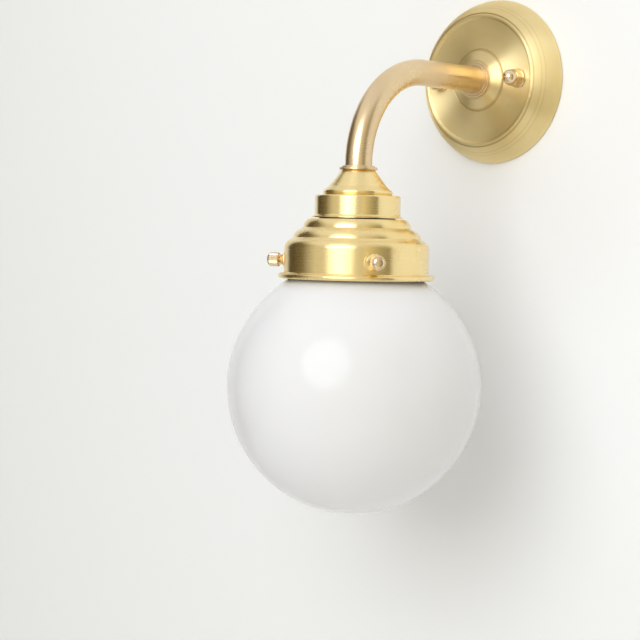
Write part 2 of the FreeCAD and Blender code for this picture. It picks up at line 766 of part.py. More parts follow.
def thumbscrew(number):
    # the domed end is part of a ball centred on the screw's axis
    shoulder = "(Size.head_radius - Size.soft_edge)"
    ball = f"({shoulder} ^ 2 + Size.head_dome ^ 2) / (2 * Size.head_dome)"
    body = turned(f"thumbscrew_{number + 1}", [
        ("0", "Size.tip_end"),
        ("Size.screw_radius - Size.soft_edge", "Size.tip_end"),
        ("Size.screw_radius", "Size.tip_end + Size.soft_edge"),
        ("Size.screw_radius", "Size.head_start"),
        ("Size.head_radius - Size.rim_edge", "Size.head_start"),
        ("Size.head_radius", "Size.head_start + Size.rim_edge"),
        ("Size.head_radius", "Size.head_end - Size.head_dome - Size.soft_edge"),
        (shoulder, "Size.head_end - Size.head_dome", ball),
        ("0", "Size.head_end"),
    ])
    on_screw_axis(body, number)


def screw_tip(number):
    # nylon button that stays still against the glass while the screw turns in it
    body = turned(f"screw_tip_{number + 1}", [
        ("0", "Size.tip_start"),
        ("Size.tip_radius - Size.fine_edge", "Size.tip_start", "Size.fine_edge"),
        ("Size.tip_radius", "Size.tip_start + Size.fine_edge"),
        ("Size.tip_radius", "Size.tip_end"),
        ("0", "Size.tip_end"),
    ])
    on_screw_axis(body, number)


# ---------------------------------------------------------------- globe

def ball_height(ball, across):
    # height of a sphere's surface above its centre at a given distance from its axis
    return f"sqrt({ball} ^ 2 - {across} ^ 2)"


def globe():
    inside = "(Size.globe_radius - Size.glass_wall)"
    outer_foot = f"-Size.globe_z + {ball_height('Size.globe_radius', 'Size.neck_radius')}"
    inner_foot = f"-Size.globe_z + {ball_height(inside, 'Size.neck_bore')}"
    body = turned("globe", [
        ("0", "-Size.globe_z - Size.globe_radius", "Size.globe_radius"),
        ("Size.globe_radius", "-Size.globe_z", "Size.globe_radius"),
        ("Size.neck_radius", outer_foot),
        ("Size.neck_radius", "-Size.rim_foot_z", "-Size.neck_arc"),
        ("Size.rim_radius", "-Size.rim_z - Size.rim_edge", "Size.rim_edge"),
        ("Size.rim_radius - Size.rim_edge", "-Size.rim_z"),
        ("Size.neck_bore + Size.rim_edge", "-Size.rim_z"),
        ("Size.neck_bore", "-Size.rim_z - Size.rim_edge"),
        ("Size.neck_bore", inner_foot, f"-{inside}"),
        (inside, "-Size.globe_z", f"-{inside}"),
        ("0", f"-Size.globe_z - {inside}"),
    ])
    on_lamp_axis(body)


# ---------------------------------------------------------------- lampholder

def lampholder_cap():
    wall = "Size.holder_wall"
    body = turned("lampholder_cap", [
        ("Size.thread_radius", "-Size.holder_top"),
        ("Size.holder_neck", "-Size.holder_top"),
        ("Size.holder_neck", "-Size.holder_top - Size.holder_sleeve"),
        ("Size.holder_radius - Size.holder_slope", "-Size.holder_top - Size.holder_shoulder"),
        ("Size.holder_radius", "-Size.holder_top - Size.holder_drum"),
        ("Size.holder_radius", "-Size.flange_z"),
        (f"Size.holder_radius - {wall}", "-Size.flange_z"),
        (f"Size.holder_radius - {wall}", "-Size.holder_top - Size.holder_drum - Size.rim_edge"),
        (f"Size.holder_radius - Size.holder_slope - {wall}",
         "-Size.holder_top - Size.holder_shoulder - Size.rim_edge"),
        ("Size.holder_neck", "-Size.holder_top - Size.holder_sleeve - Size.holder_roof"),
        ("Size.thread_radius", "-Size.holder_top - Size.holder_sleeve - Size.holder_roof"),
    ])
    on_lamp_axis(body)


def lampholder_skirt():
    body = turned("lampholder_skirt", [
        ("Size.skirt_bore", "-Size.flange_z"),
        ("Size.flange_radius", "-Size.flange_z"),
        ("Size.flange_radius", "-Size.gallery_top"),
        ("Size.skirt_radius", "-Size.gallery_top"),
        ("Size.skirt_radius", "-Size.skirt_z + Size.rim_edge"),
        ("Size.skirt_radius - Size.rim_edge", "-Size.skirt_z"),
        ("Size.skirt_bore", "-Size.skirt_z"),
    ])
    on_lamp_axis(body)


def shade_ring():
    # clamps the gallery up against the skirt's flange, with finger grips round it
    top = "-Size.gallery_top - Size.gallery_wall"
    body = turned("shade_ring", [
        ("Size.skirt_radius + Size.fit_gap", top),
        ("Size.ring_radius", top),
        ("Size.ring_radius", f"{top} - Size.ring_rim"),
        ("Size.ring_radius - Size.ring_step", f"{top} - 1.5 * Size.ring_rim"),
        ("Size.ring_radius - 1.25 * Size.ring_step", f"{top} - Size.ring_thick"),
        ("Size.skirt_radius + Size.fit_gap", f"{top} - Size.ring_thick"),
    ])
    notch = circle(sketch_on(body, "XY_Plane", "notch"), "Size.grip_radius",
                   "Size.ring_radius - Size.ring_step", "0")
    notch.setExpression("AttachmentOffset.Base.z", f"{top} - Size.ring_rim - Size.free_gap")
    cut = pocket(body, notch, "Size.ring_thick", "grip")
    document.recompute()
    repeat_round(body, cut, "grips", GRIPS)
    on_lamp_axis(body)


def lampholder_insulator():
    # ceramic cup: a floor that carries the contacts and a wall round the screw shell
    body = turned("lampholder_insulator", [
        ("0", "-Size.insulator_top"),
        ("Size.insulator_radius", "-Size.insulator_top"),
        ("Size.insulator_radius", "-Size.shell_z - Size.insulator_lip"),
        ("Size.shell_radius + Size.fit_gap", "-Size.shell_z - Size.insulator_lip"),
        ("Size.shell_radius + Size.fit_gap", "-Size.floor_z"),
        ("0", "-Size.floor_z"),
    ])
    on_lamp_axis(body)


def contact_screws():
    # the two wire terminals on the insulator's floor, one node
    screws = []
    for side in ("-", ""):
        screw = document.addObject("Part::Cylinder", "contact_screw")
        screw.setExpression("Radius", "Size.contact_radius")
        screw.setExpression("Height", "Size.contact_rise")
        place(screw, UPRIGHT, x=f"{side}Size.contact_offset", y="-Size.reach", z="-Size.insulator_top")
        screws.append(screw)
    group = document.addObject("Part::Compound", "contact_screws")
    group.Label = "contact_screws"
    group.Links = screws


def screw_shell():
    body = ring("lampholder_screw_shell", "Size.shell_bore", "Size.shell_radius",
                "-Size.shell_z", "-Size.floor_z")
    on_lamp_axis(body)


def centre_contact():
    # sprung tongue under the insulator's floor
    body = new_body("centre_contact")
    tongue = sketch_on(body, "XZ_Plane", "tongue")
    outline(tongue, [
        ("-Size.tongue_half", "-Size.floor_z"),
        ("Size.tongue_half", "-Size.floor_z"),
        ("Size.tongue_half", "-Size.floor_z - Size.tongue_thick"),
        ("Size.tongue_foot", "-Size.floor_z - Size.tongue_thick"),
        ("Size.tongue_top", "-Size.lamp_contact_z + Size.fit_gap"),
        ("-Size.tongue_top", "-Size.lamp_contact_z + Size.fit_gap"),
        ("-Size.tongue_foot", "-Size.floor_z - Size.tongue_thick"),
        ("-Size.tongue_half", "-Size.floor_z - Size.tongue_thick"),
    ])
    strip = pad(body, tongue, "Size.tongue_wide")
    strip.Midplane = True
    on_lamp_axis(body)


# ---------------------------------------------------------------- lamp

def bulb():
    button_foot = "-Size.lamp_contact_z - Size.lamp_button_thick"
    contact = turned("bulb_contact", [
        ("0", "-Size.lamp_contact_z"),
        ("Size.lamp_button", "-Size.lamp_contact_z"),
        ("Size.lamp_button_foot", button_foot),
        ("0", button_foot),
    ])
    on_lamp_axis(contact)
    insulator = turned("bulb_insulator", [
        ("0", button_foot),
        ("Size.lamp_button_foot", button_foot),
        ("Size.lamp_cap_radius - Size.lamp_cap_edge", "-Size.lamp_cap_z"),
        ("0", "-Size.lamp_cap_z"),
    ])
    on_lamp_axis(insulator)
    inside = "(Size.lamp_cap_radius - Size.lamp_cap_wall)"
    roof = "-Size.lamp_cap_z - Size.lamp_cap_edge - Size.lamp_cap_wall"
    cap = turned("bulb_cap", [
        ("0", "-Size.lamp_cap_z"),
        ("Size.lamp_cap_radius - Size.lamp_cap_edge", "-Size.lamp_cap_z"),
        ("Size.lamp_cap_radius", "-Size.lamp_cap_z - Size.lamp_cap_edge"),
        ("Size.lamp_cap_radius", "-Size.lamp_cap_end"),
        (inside, "-Size.lamp_cap_end"),
        (inside, roof),
        ("0", roof),
    ])
    on_lamp_axis(cap)
    # the glass: a neck that swells through one hollow arc into the ball
    throat = "Size.lamp_throat_turn"
    glass = turned("bulb_glass", [
        ("0", "-Size.lamp_cap_end + Size.lamp_seat"),
        (f"{inside} - Size.free_gap", "-Size.lamp_cap_end + Size.lamp_seat"),
        (f"{inside} - Size.free_gap", "-Size.lamp_cap_end"),
        ("Size.lamp_neck", "-Size.lamp_cap_end"),
        ("Size.lamp_neck", "-Size.lamp_neck_z", "Size.lamp_throat_arc"),
        (f"Size.lamp_radius * cos({throat})", f"-Size.lamp_centre_z + Size.lamp_radius * sin({throat})",
         "-Size.lamp_radius"),
        ("0", "-Size.lamp_centre_z - Size.lamp_radius"),
    ])
    on_lamp_axis(glass)


# ---------------------------------------------------------------- wiring

def rounded_route(corners):
    # straight runs joined by tangent arcs; each inner corner brings its own radius
    spots = [vector(*corner[:3]) for corner in corners]
    edges = []
    start = spots[0]
    for index in range(1, len(corners) - 1):
        before = spots[index].sub(spots[index - 1]).normalize()
        after = spots[index + 1].sub(spots[index]).normalize()
        half_turn = before.getAngle(after) / 2.0
        radius = corners[index][3]
        reach = radius * math.tan(half_turn)
        leave = spots[index].sub(vector(before).multiply(reach))
        join = spots[index].add(vector(after).multiply(reach))
        inward = after.sub(before).normalize()
        middle = spots[index].add(vector(inward).multiply(radius / math.cos(half_turn) - radius))
        edges.append(Part.LineSegment(start, leave).toShape())
        edges.append(Part.Arc(leave, middle, join).toShape())
        start = join
    edges.append(Part.LineSegment(start, spots[-1]).toShape())
    return Part.Wire(edges), edges


def wire(label, corners):
    route, edges = rounded_route(corners)
    first = vector(*corners[0][:3])
    direction = vector(*corners[1][:3]).sub(first)
    section = Part.Wire([Part.Circle(first, direction, size("wire_radius")).toShape()])
    piece = document.addObject("Part::Feature", label)
    piece.Label = label
    piece.Shape = route.makePipeShell([section], True, False)
    expected = math.pi * size("wire_radius") ** 2 * route.Length
    print(f"{label}: length {route.Length:.1f}, volume ratio {piece.Shape.Volume / expected:.4f}")


def lamp_wires():
    # from the terminal block through the nipple, the arm and the second nipple to the lampholder
    reach = size("reach")
    depth = size("plate_thick") + size("entry_depth")
    for label, side in (("wire_live", -1), ("wire_neutral", 1)):
        pole = side * size("pole_pitch") if side < 0 else 0.0
        lane = side * size("wire_offset")
        foot = side * size("contact_offset")
        wire(label, [
            (pole, -depth, size("block_z") + 2),
            (pole, -depth, 4.5, 2.0),
            (lane, -depth - 3.0, 0.0, 3.0),
            (lane, -reach, 0.0, size("bend_radius")),
            (lane, -reach, -77.0, 4.0),
            (foot, -reach, -83.0, 3.0),
            (foot, -reach, -size("insulator_top") + size("contact_rise")),
        ])


def earth_wire():
    depth = size("plate_thick") + size("entry_depth")
    low = size("plate_thick") + size("tag_barrel") + size("tag_thick") / 2
    across = size("earth_x")
    drop = size("earth_drop")
    wire("wire_earth", [
        (size("pole_pitch"), -depth, size("block_z") + 2),
        (size("pole_pitch"), -depth, 5.0, 2.0),
        (across, -low, 1.0, 4.0),
        (across, -low, -drop + size("eye_radius") + 1.0),
    ])


# ---------------------------------------------------------------- build

SCREWS = 3
TEETH = 12
GRIPS = 8
POLES = ("-Size.pole_pitch", "0", "Size.pole_pitch")

mounting_plate()
terminal_block()
terminal_screws()
earth_screw()
earth_tag()
wall_rose()
for side_name, sign in (("left", "-"), ("right", "")):
    stud(f"stud_{side_name}", sign)
    rose_washer(f"rose_washer_{side_name}", sign)
    cap_nut(f"cap_nut_{side_name}", sign)

inner_face = "(Size.boss_depth - Size.metal_wall)"
on_wall(nipple("wall_nipple", "Size.wall_nipple_length"),
        y=f"-({inner_face} - Size.toothed_thick - Size.lock_thick - 2)")
on_wall(toothed_washer("wall_toothed_washer"), y=f"-({inner_face} - Size.toothed_thick)")
on_wall(lock_nut("wall_lock_nut"), y=f"-({inner_face} - Size.toothed_thick - Size.lock_thick)")
on_wall(arm_collar("arm_wall_collar"), y="-Size.boss_depth")
arm_tube()

cup_inside = "(Size.cup_neck_z + 0.7)"
place(arm_collar("arm_lamp_collar"), UPRIGHT, y="-Size.reach", z="-Size.cup_top")
place(nipple("lamp_nipple", "Size.lamp_nipple_length"), UPRIGHT, y="-Size.reach",
      z="-(Size.cup_top - 5 + Size.lamp_nipple_length)")
place(toothed_washer("lamp_toothed_washer"), UPRIGHT, y="-Size.reach",
      z=f"-({cup_inside} + Size.toothed_thick)")
place(lock_nut("lamp_lock_nut"), UPRIGHT, y="-Size.reach",
      z=f"-({cup_inside} + Size.toothed_thick + Size.lock_thick)")
holder_cup()
gallery()
for screw_number in range(SCREWS):
    screw_bush(screw_number)
    thumbscrew(screw_number)
    screw_tip(screw_number)
globe()
lampholder_cap()
lampholder_skirt()
shade_ring()
lampholder_insulator()
contact_screws()
screw_shell()
centre_contact()
bulb()
lamp_wires()
earth_wire()
document.recompute()

# ---------------------------------------------------------------- check and write

failed = []
for item in document.Objects:
    if "Invalid" in item.State or "Error" in item.State:
        failed.append(item.Name)
if failed:
    raise RuntimeError(f"did not compute: {failed}")

PIECE_TYPES = ("PartDesign::Body", "Part::Cylinder", "Part::Compound", "Part::Feature")
grouped = []
for item in document.Objects:
    if item.TypeId == "Part::Compound":
        grouped.extend(item.Links)
pieces = []
for item in document.Objects:
    if item.TypeId in PIECE_TYPES and item not in grouped and item.getParentGeoFeatureGroup() is None:
        pieces.append(item)

os.makedirs("parts", exist_ok=True)
for piece in pieces:
    if piece.Shape.isNull() or not piece.Shape.isValid():
        raise RuntimeError(f"{piece.Label} has no valid shape")
    piece.Shape.exportStep(f"parts/{piece.Label}.step")
print(f"{len(pieces)} pieces written")
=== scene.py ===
import json
import math

import bmesh
import bpy
from mathutils import Euler, Matrix, Vector


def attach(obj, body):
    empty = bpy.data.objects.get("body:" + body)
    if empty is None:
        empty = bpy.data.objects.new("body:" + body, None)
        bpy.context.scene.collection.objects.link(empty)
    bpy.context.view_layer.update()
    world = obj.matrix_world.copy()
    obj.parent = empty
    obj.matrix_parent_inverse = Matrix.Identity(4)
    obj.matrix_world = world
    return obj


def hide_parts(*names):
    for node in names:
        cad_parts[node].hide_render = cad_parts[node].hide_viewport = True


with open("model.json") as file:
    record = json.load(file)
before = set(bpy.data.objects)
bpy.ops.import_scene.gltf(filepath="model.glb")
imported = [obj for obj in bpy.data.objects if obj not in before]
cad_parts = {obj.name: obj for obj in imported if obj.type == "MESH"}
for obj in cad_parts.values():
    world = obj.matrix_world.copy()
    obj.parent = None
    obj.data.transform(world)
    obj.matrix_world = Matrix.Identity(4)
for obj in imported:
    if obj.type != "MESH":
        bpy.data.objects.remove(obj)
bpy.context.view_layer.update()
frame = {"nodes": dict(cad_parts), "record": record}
nodes = frame["nodes"]
print("frame loaded:", len(nodes), "nodes")

scene = bpy.context.scene
scene.view_settings.view_transform = "Standard"

lampAxis = Vector((0.0, -0.133, 0.0))  # the upright axis of cup, gallery and globe


# camera

cameraView = {
    "place": (0.6717, -0.9195, -0.0992),
    "azimuth": 41.65,  # degrees, from -Y towards +X
    "elevation": 2.85,
    "roll": 1.19,
    "focalPixels": 1750.0,  # in a frame 640 pixels wide
    "frameWidth": 640.0,
    "sensor": 36.0,
}


def makeCamera():
    azimuth = math.radians(cameraView["azimuth"])
    elevation = math.radians(cameraView["elevation"])
    roll = math.radians(cameraView["roll"])
    back = Vector((math.sin(azimuth) * math.cos(elevation),
                   -math.cos(azimuth) * math.cos(elevation),
                   math.sin(elevation)))
    right = Vector((math.cos(azimuth), math.sin(azimuth), 0.0))
    up = back.cross(right)
    across = right * math.cos(roll) + up * math.sin(roll)
    upward = up * math.cos(roll) - right * math.sin(roll)
    data = bpy.data.cameras.new("photoCamera")
    data.sensor_width = cameraView["sensor"]
    data.lens = cameraView["focalPixels"] * cameraView["sensor"] / cameraView["frameWidth"]
    camera = bpy.data.objects.new("photoCamera", data)
    camera.matrix_world = Matrix((
        (across.x, upward.x, back.x, cameraView["place"][0]),
        (across.y, upward.y, back.y, cameraView["place"][1]),
        (across.z, upward.z, back.z, cameraView["place"][2]),
        (0.0, 0.0, 0.0, 1.0),
    ))
    scene.collection.objects.link(camera)
    scene.camera = camera


makeCamera()
print("camera set")


# shader helpers

def newMaterial(name):
    material = bpy.data.materials.new(name)
    material.use_nodes = True
    tree = material.node_tree
    tree.nodes.clear()
    output = tree.nodes.new("ShaderNodeOutputMaterial")
    shader = tree.nodes.new("ShaderNodeBsdfPrincipled")
    tree.links.new(shader.outputs["BSDF"], output.inputs["Surface"])
    return material, tree, shader


def objectCoordinates(tree, centre=(0.0, 0.0, 0.0), turn=(0.0, 0.0, 0.0)):
    # object coordinates, moved so that centre becomes the origin and then turned
    coordinates = tree.nodes.new("ShaderNodeTexCoord")
    mapping = tree.nodes.new("ShaderNodeMapping")
    mapping.vector_type = "TEXTURE"
    mapping.inputs["Location"].default_value = centre
    mapping.inputs["Rotation"].default_value = turn
    tree.links.new(coordinates.outputs["Object"], mapping.inputs["Vector"])
    return mapping.outputs["Vector"]


def mathNode(tree, operation, first, second=None, clamp=False):
    node = tree.nodes.new("ShaderNodeMath")
    node.operation = operation
    node.use_clamp = clamp
    for socket, value in ((node.inputs[0], first), (node.inputs[1], second)):
        if value is None:
            continue
        if isinstance(value, (int, float)):
            socket.default_value = value
        else:
            tree.links.new(value, socket)
    return node.outputs[0]


def radiusNode(tree, split):
    # the distance from the Z axis, out of a node that has split a vector
    across = mathNode(tree, "MULTIPLY", split.outputs["X"], split.outputs["X"])
    along = mathNode(tree, "MULTIPLY", split.outputs["Y"], split.outputs["Y"])
    return mathNode(tree, "SQRT", mathNode(tree, "ADD", across, along))


def rangeNode(tree, value, low, high, newLow, newHigh):
    node = tree.nodes.new("ShaderNodeMapRange")
    node.inputs["From Min"].default_value = low
    node.inputs["From Max"].default_value = high
    node.inputs["To Min"].default_value = newLow
    node.inputs["To Max"].default_value = newHigh
    tree.links.new(value, node.inputs["Value"])
    return node.outputs["Result"]


def mixColours(tree, factor, first, second):
    node = tree.nodes.new("ShaderNodeMix")
    node.data_type = "RGBA"
    tree.links.new(factor, node.inputs["Factor"])
    node.inputs["A"].default_value = (*first, 1.0)
    node.inputs["B"].default_value = (*second, 1.0)
    return node.outputs["Result"]


def noiseNode(tree, vector, scale, detail, roughness=0.5):
    node = tree.nodes.new("ShaderNodeTexNoise")
    node.inputs["Scale"].default_value = scale
    node.inputs["Detail"].default_value = detail
    node.inputs["Roughness"].default_value = roughness
    tree.links.new(vector, node.inputs["Vector"])
    return node.outputs["Fac"]


def bumpNode(tree, shader, height, strength, distance):
    node = tree.nodes.new("ShaderNodeBump")
    node.inputs["Strength"].default_value = strength
    node.inputs["Distance"].default_value = distance
    tree.links.new(height, node.inputs["Height"])
    tree.links.new(node.outputs["Normal"], shader.inputs["Normal"])


# lathe marks: fine rings about the vector's Z axis, with a slow change round them

latheLook = {"sweep": 1.5, "detail": 3.0, "roughness": 0.6}


def makeLatheGroup():
    group = bpy.data.node_groups.new("latheMarks", "ShaderNodeTree")
    group.interface.new_socket("Vector", in_out="INPUT", socket_type="NodeSocketVector")
    group.interface.new_socket("Lines", in_out="INPUT", socket_type="NodeSocketFloat")
    group.interface.new_socket("Height", in_out="OUTPUT", socket_type="NodeSocketFloat")
    entry = group.nodes.new("NodeGroupInput")
    leave = group.nodes.new("NodeGroupOutput")
    split = group.nodes.new("ShaderNodeSeparateXYZ")
    group.links.new(entry.outputs["Vector"], split.inputs[0])
    radius = radiusNode(group, split)
    turn = mathNode(group, "ARCTAN2", split.outputs["Y"], split.outputs["X"])
    join = group.nodes.new("ShaderNodeCombineXYZ")
    group.links.new(mathNode(group, "MULTIPLY", radius, entry.outputs["Lines"]), join.inputs["X"])
    group.links.new(mathNode(group, "MULTIPLY", split.outputs["Z"], entry.outputs["Lines"]), join.inputs["Y"])
    group.links.new(mathNode(group, "MULTIPLY", mathNode(group, "COSINE", turn), latheLook["sweep"]),
                    join.inputs["Z"])
    height = noiseNode(group, join.outputs[0], 1.0, latheLook["detail"], latheLook["roughness"])
    group.links.new(height, leave.inputs["Height"])
    return group


# handling marks: broad soft patches where lacquer and fingers change the gloss

handlingLook = {"detail": 4.0, "roughness": 0.55, "low": 0.35, "high": 0.65}


def makeHandlingGroup():
    group = bpy.data.node_groups.new("handlingMarks", "ShaderNodeTree")
    group.interface.new_socket("Vector", in_out="INPUT", socket_type="NodeSocketVector")
    group.interface.new_socket("Scale", in_out="INPUT", socket_type="NodeSocketFloat")
    group.interface.new_socket("Mask", in_out="OUTPUT", socket_type="NodeSocketFloat")
    entry = group.nodes.new("NodeGroupInput")
    leave = group.nodes.new("NodeGroupOutput")
    noise = group.nodes.new("ShaderNodeTexNoise")
    noise.inputs["Detail"].default_value = handlingLook["detail"]
    noise.inputs["Roughness"].default_value = handlingLook["roughness"]
    group.links.new(entry.outputs["Vector"], noise.inputs["Vector"])
    group.links.new(entry.outputs["Scale"], noise.inputs["Scale"])
    mask = rangeNode(group, noise.outputs["Fac"], handlingLook["low"], handlingLook["high"], 0.0, 1.0)
    group.links.new(mask, leave.inputs["Mask"])
    return group


latheMarks = makeLatheGroup()
handlingMarks = makeHandlingGroup()


def useGroup(tree, group, vector, **values):
    node = tree.nodes.new("ShaderNodeGroup")
    node.node_tree = group
    tree.links.new(vector, node.inputs["Vector"])
    for name, value in values.items():
        node.inputs[name].default_value = value
    return node.outputs[0]


# painted shade and dark lines: a dark line painted at each radius about the vector's Z axis, given as (radius,
# half width, depth)

def shadeAndLineRings(tree, vector, shadeAndLines):
    split = tree.nodes.new("ShaderNodeSeparateXYZ")
    tree.links.new(vector, split.inputs[0])
    radius = radiusNode(tree, split)
    mask = None
    for middle, half, depth in shadeAndLines:
        away = mathNode(tree, "ABSOLUTE", mathNode(tree, "SUBTRACT", radius, middle))
        line = rangeNode(tree, away, 0.0, half, depth, 0.0)
        mask = line if mask is None else mathNode(tree, "MAXIMUM", mask, line)
    return mask


# metals

brassFinishes = {
    "spunBrassRose": {
        "light": (0.96, 0.80, 0.46), "deep": (0.87, 0.68, 0.31), "rough": (0.37, 0.43),
        "turn": (math.radians(90), 0.0, 0.0), "anisotropy": 0.95, "axis": "Y",
        "lines": 2600.0, "bump": 0.10,
        # dark rings painted into the colour: painted shade in the fillet at the boss foot (0.0189) and in the
        # crease outside the crest (0.0424), and two fine dark lines on the outer slope
        "shadeAndLines": ((0.0189, 0.0011, 0.42), (0.0424, 0.0007, 0.48), (0.0460, 0.0003, 0.22),
                   (0.0476, 0.0003, 0.16)),
    },
    "spunBrassCup": {
        "light": (0.94, 0.76, 0.40), "deep": (0.87, 0.67, 0.30), "rough": (0.24, 0.31),
        "centre": lampAxis, "anisotropy": 0.85, "axis": "Z",
        "lines": 2600.0, "bump": 0.05,
    },
    "drawnBrassTube": {
        "light": (0.80, 0.63, 0.40), "deep": (0.73, 0.55, 0.32), "rough": (0.26, 0.33),
        "lines": 900.0, "bump": 0.03,
    },
    "turnedBrass": {
        "light": (0.87, 0.70, 0.48), "deep": (0.80, 0.61, 0.38), "rough": (0.14, 0.22),
        "lines": 1800.0, "bump": 0.02,
    },
    "contactBrass": {
        "light": (0.80, 0.60, 0.28), "deep": (0.70, 0.50, 0.22), "rough": (0.25, 0.40),
        "lines": 1500.0, "bump": 0.05,
    },
}

brassLook = {
    "patchScale": 28.0,
    "patchShare": 0.5,
    "ringShare": 0.5,
    "toneLow": 0.2,
    "toneHigh": 0.8,
    "bumpHeight": 0.0002,
    "groove": (0.30, 0.19, 0.07),  # painted shade in the boss-foot fillet and the crest crease, and the colour of the fine slope lines
    "across": 0.25,  # a quarter turn: the gloss spreads across the turning marks
}


def makeBrass(name):
    finish = brassFinishes[name]
    look = brassLook
    origin = (0.0, 0.0, 0.0)
    material, tree, shader = newMaterial(name)
    vector = objectCoordinates(tree, finish.get("centre", origin), finish.get("turn", origin))
    rings = useGroup(tree, latheMarks, vector, Lines=finish["lines"])
    marks = useGroup(tree, handlingMarks, vector, Scale=look["patchScale"])
    tone = mathNode(tree, "ADD", mathNode(tree, "MULTIPLY", marks, look["patchShare"]),
                    mathNode(tree, "MULTIPLY", rings, look["ringShare"]))
    colour = mixColours(tree, tone, finish["light"], finish["deep"])
    # paint the dark rings into the base colour: painted shade in a fillet and a crease, and fine dark lines
    if "shadeAndLines" in finish:
        ringShadeMix = tree.nodes.new("ShaderNodeMix")
        ringShadeMix.data_type = "RGBA"
        tree.links.new(shadeAndLineRings(tree, vector, finish["shadeAndLines"]), ringShadeMix.inputs["Factor"])
        tree.links.new(colour, ringShadeMix.inputs["A"])
        ringShadeMix.inputs["B"].default_value = (*look["groove"], 1.0)
        colour = ringShadeMix.outputs["Result"]
    tree.links.new(colour, shader.inputs["Base Color"])
    rough = rangeNode(tree, tone, look["toneLow"], look["toneHigh"], *finish["rough"])
    tree.links.new(rough, shader.inputs["Roughness"])
    shader.inputs["Metallic"].default_value = 1.0
    if "anisotropy" in finish:
        shader.inputs["Anisotropic"].default_value = finish["anisotropy"]
        shader.inputs["Anisotropic Rotation"].default_value = look["across"]
        tangent = tree.nodes.new("ShaderNodeTangent")
        tangent.direction_type = "RADIAL"
        tangent.axis = finish["axis"]
        tree.links.new(tangent.outputs["Tangent"], shader.inputs["Tangent"])
    bumpNode(tree, shader, rings, finish["bump"], look["bumpHeight"])
    return material


plainFinishes = {
    "zincSteel": {"colour": (0.62, 0.63, 0.66), "shade": (0.50, 0.51, 0.55), "rough": (0.28, 0.45),
                  "metal": 1.0, "scale": 160.0, "bump": 0.10},
    "lampCapMetal": {"colour": (0.80, 0.80, 0.81), "shade": (0.70, 0.70, 0.72), "rough": (0.18, 0.30),
                     "metal": 1.0, "scale": 200.0, "bump": 0.05},
    "blackResin": {"colour": (0.020, 0.019, 0.018), "shade": (0.032, 0.030, 0.028), "rough": (0.30, 0.42),
                   "metal": 0.0, "scale": 300.0, "bump": 0.06},
    "steatite": {"colour": (0.82, 0.80, 0.76), "shade": (0.74, 0.72, 0.68), "rough": (0.30, 0.45),
                 "metal": 0.0, "scale": 400.0, "bump": 0.10},
    "whiteResin": {"colour": (0.78, 0.78, 0.75), "shade": (0.72, 0.72, 0.69), "rough": (0.35, 0.50),
                   "metal": 0.0, "scale": 300.0, "bump": 0.06},
    "nylon": {"colour": (0.80, 0.78, 0.70), "shade": (0.74, 0.72, 0.63), "rough": (0.40, 0.55),
              "metal": 0.0, "scale": 300.0, "bump": 0.06},
    "lampInsulator": {"colour": (0.015, 0.015, 0.016), "shade": (0.03, 0.03, 0.032), "rough": (0.15, 0.30),
                      "metal": 0.0, "scale": 300.0, "bump": 0.04},
    "brownSleeve": {"colour": (0.12, 0.050, 0.022), "shade": (0.16, 0.07, 0.032), "rough": (0.45, 0.60),
                    "metal": 0.0, "scale": 250.0, "bump": 0.05},
    "blueSleeve": {"colour": (0.012, 0.06, 0.30), "shade": (0.02, 0.09, 0.38), "rough": (0.45, 0.60),
                   "metal": 0.0, "scale": 250.0, "bump": 0.05},
    "greenSleeve": {"colour": (0.03, 0.26, 0.04), "shade": (0.45, 0.42, 0.02), "rough": (0.45, 0.60),
                    "metal": 0.0, "scale": 120.0, "bump": 0.05},
}

plainLook = {"fineScale": 8.0, "fineDetail": 3.0, "fineLow": 0.3, "fineHigh": 0.7, "bumpHeight": 0.0001}


def makePlain(name):
    finish = plainFinishes[name]
    look = plainLook
    material, tree, shader = newMaterial(name)
    vector = objectCoordinates(tree)
    marks = useGroup(tree, handlingMarks, vector, Scale=finish["scale"])
    fine = noiseNode(tree, vector, finish["scale"] * look["fineScale"], look["fineDetail"])
    tree.links.new(mixColours(tree, marks, finish["colour"], finish["shade"]), shader.inputs["Base Color"])
    rough = rangeNode(tree, fine, look["fineLow"], look["fineHigh"], *finish["rough"])
    tree.links.new(rough, shader.inputs["Roughness"])
    shader.inputs["Metallic"].default_value = finish["metal"]
    bumpNode(tree, shader, fine, finish["bump"], look["bumpHeight"])
    return material


# glass

glassFinishes = {
    "opalGlass": {"colour": (0.795, 0.795, 0.815), "shade": (0.785, 0.785, 0.80), "rough": (0.12, 0.15),
                  "specular": 0.30, "scatter": 0.6, "radius": 0.003, "scale": 14.0, "bump": 0.02},
    "frostedGlass": {"colour": (0.88, 0.88, 0.86), "shade": (0.84, 0.84, 0.82), "rough": (0.40, 0.50),
                     "specular": 0.50, "scatter": 0.2, "radius": 0.002, "scale": 40.0, "bump": 0.03},
}
glassLook = {"scatterTint": (1.0, 0.95, 0.9), "bumpHeight": 0.001}


def makeGlass(name):
    finish = glassFinishes[name]
    material, tree, shader = newMaterial(name)
    vector = objectCoordinates(tree, lampAxis)
    marks = useGroup(tree, handlingMarks, vector, Scale=finish["scale"])
    tree.links.new(mixColours(tree, marks, finish["colour"], finish["shade"]), shader.inputs["Base Color"])
    rough = rangeNode(tree, marks, 0.0, 1.0, *finish["rough"])
    tree.links.new(rough, shader.inputs["Roughness"])
    shader.inputs["Specular IOR Level"].default_value = finish["specular"]
    shader.inputs["Subsurface Weight"].default_value = finish["scatter"]
    shader.inputs["Subsurface Radius"].default_value = glassLook["scatterTint"]
    shader.inputs["Subsurface Scale"].default_value = finish["radius"]
    bumpNode(tree, shader, marks, finish["bump"], glassLook["bumpHeight"])
    return material


